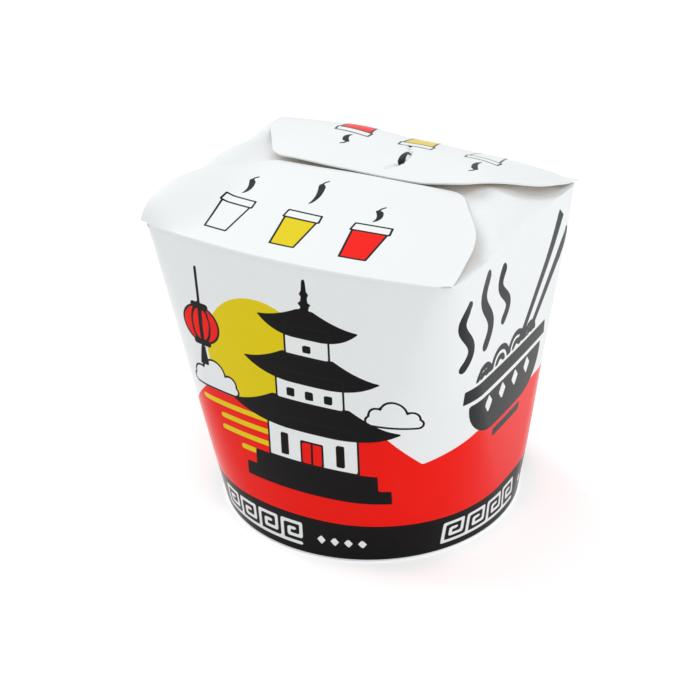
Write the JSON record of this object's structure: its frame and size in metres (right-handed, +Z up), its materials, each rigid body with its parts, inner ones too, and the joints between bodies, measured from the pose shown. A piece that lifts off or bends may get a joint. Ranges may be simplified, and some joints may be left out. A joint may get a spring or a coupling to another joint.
{
  "type": "noodle takeaway box",
  "caption": "Shut paperboard takeaway box for hot noodles: round base, flared walls that square off at the crease, and two overlapping top flaps over folded-in ends.",
  "frame": {"origin": "middle of the base, on the surface that the box stands on", "axes": "+Z up through the box, +X to the right along the front crease, +Y from the front panel to the back panel"},
  "size_m": [0.0964, 0.0904, 0.1003],
  "materials": {
    "printed_board": "coated white paperboard, satin, printed with red, black, yellow and slate fields",
    "plain_board": "unprinted white paperboard, matte"
  },
  "bodies": {
    "root": {"carton": "printed_board", "base_disc": "plain_board"}
  },
  "joints": []
}
